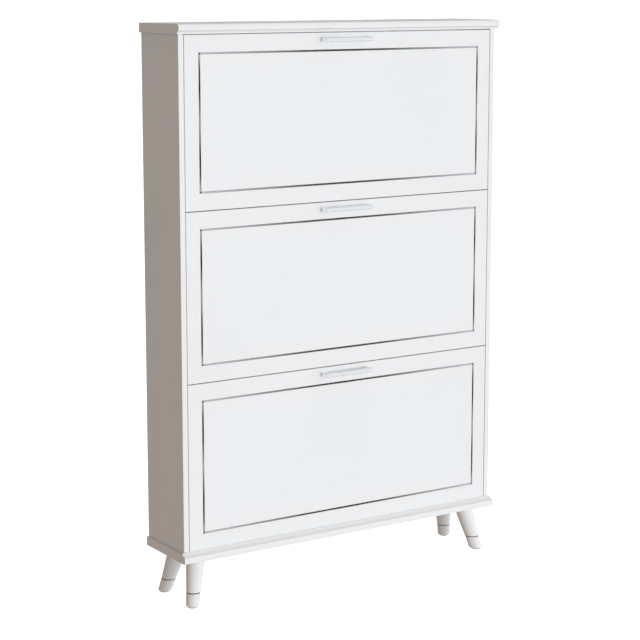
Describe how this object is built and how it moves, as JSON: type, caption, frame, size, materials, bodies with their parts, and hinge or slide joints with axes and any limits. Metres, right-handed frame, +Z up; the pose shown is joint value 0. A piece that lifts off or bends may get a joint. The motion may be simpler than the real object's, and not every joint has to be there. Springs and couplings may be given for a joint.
{
  "type": "shoe cabinet",
  "caption": "Slim white shoe cabinet with stacked flip-down doors, metal inlay frames, bar handles, shoe buckets and splayed round legs.",
  "frame": {"origin": "on the floor, under the middle of the object's box", "axes": "+Z up, the doors face -Y, +X to the viewer's right"},
  "size_m": [0.8, 0.175, 1.2],
  "materials": {
    "white_lacquer": "satin white lacquer on fibreboard",
    "white_board": "matt white melamine on chipboard",
    "back_board": "white foil on thin hardboard",
    "leg_lacquer": "satin white lacquer on turned wood",
    "polished_metal": "polished chrome plating",
    "foot_plastic": "moulded, satin",
    "glide_felt": "dense grey glide",
    "zinc_steel": "bright zinc plated",
    "brass_insert": "machined",
    "cam_zinc": "die cast zinc alloy, dull",
    "dowel_beech": "bare beech, fluted",
    "nylon": "natural nylon",
    "catch_plastic": "moulded white",
    "bracket_plastic": "moulded light grey, fine texture"
  },
  "bodies": {
    "carcass": {"top_board": "white_lacquer", "base_board": "white_lacquer", "side_panel_left": "white_lacquer", "side_panel_right": "white_lacquer", "wall_rail": "white_board", "cross_rail_lower": "white_board", "cross_rail_upper": "white_board", "back_panel": "back_board", "leg_front_left": "leg_lacquer", "leg_front_right": "leg_lacquer", "leg_rear_left": "leg_lacquer", "leg_rear_right": "leg_lacquer", "leg_rings": "polished_metal", "foot_cups": "foot_plastic", "foot_pads": "glide_felt", "leg_bolts": "zinc_steel", "cam_bolts": "zinc_steel", "stop_pins": "zinc_steel", "catch_screws": "zinc_steel", "leg_inserts": "brass_insert", "cam_locks": "cam_zinc", "dowels": "dowel_beech", "pivot_bushings": "nylon", "magnet_catches": "catch_plastic"},
    "door_lower": {"door_panel_lower": "white_lacquer", "door_trim_lower": "polished_metal", "door_handle_lower": "polished_metal", "handle_screws_lower": "zinc_steel", "pivot_pins_lower": "zinc_steel", "door_screws_lower": "zinc_steel", "strike_plates_lower": "zinc_steel", "bucket_bracket_left_lower": "bracket_plastic", "bucket_bracket_right_lower": "bracket_plastic", "tray_board_lower": "white_board", "rear_board_lower": "white_board", "bucket_divider_lower": "white_board"},
    "door_middle": {"door_panel_middle": "white_lacquer", "door_trim_middle": "polished_metal", "door_handle_middle": "polished_metal", "handle_screws_middle": "zinc_steel", "pivot_pins_middle": "zinc_steel", "door_screws_middle": "zinc_steel", "strike_plates_middle": "zinc_steel", "bucket_bracket_left_middle": "bracket_plastic", "bucket_bracket_right_middle": "bracket_plastic", "tray_board_middle": "white_board", "rear_board_middle": "white_board", "bucket_divider_middle": "white_board"},
    "door_upper": {"door_panel_upper": "white_lacquer", "door_trim_upper": "polished_metal", "door_handle_upper": "polished_metal", "handle_screws_upper": "zinc_steel", "pivot_pins_upper": "zinc_steel", "door_screws_upper": "zinc_steel", "strike_plates_upper": "zinc_steel", "bucket_bracket_left_upper": "bracket_plastic", "bucket_bracket_right_upper": "bracket_plastic", "tray_board_upper": "white_board", "rear_board_upper": "white_board", "bucket_divider_upper": "white_board"}
  },
  "joints": [
    {"name": "door_lower_hinge", "type": "hinge", "parent": "carcass", "child": "door_lower", "pos_m": [0, -0.0585, 0.1615], "axis": [1, 0, 0], "range_deg": [0, 48]},
    {"name": "door_middle_hinge", "type": "hinge", "parent": "carcass", "child": "door_middle", "pos_m": [0, -0.0585, 0.5143], "axis": [1, 0, 0], "range_deg": [0, 48]},
    {"name": "door_upper_hinge", "type": "hinge", "parent": "carcass", "child": "door_upper", "pos_m": [0, -0.0585, 0.8671], "axis": [1, 0, 0], "range_deg": [0, 48]}
  ]
}
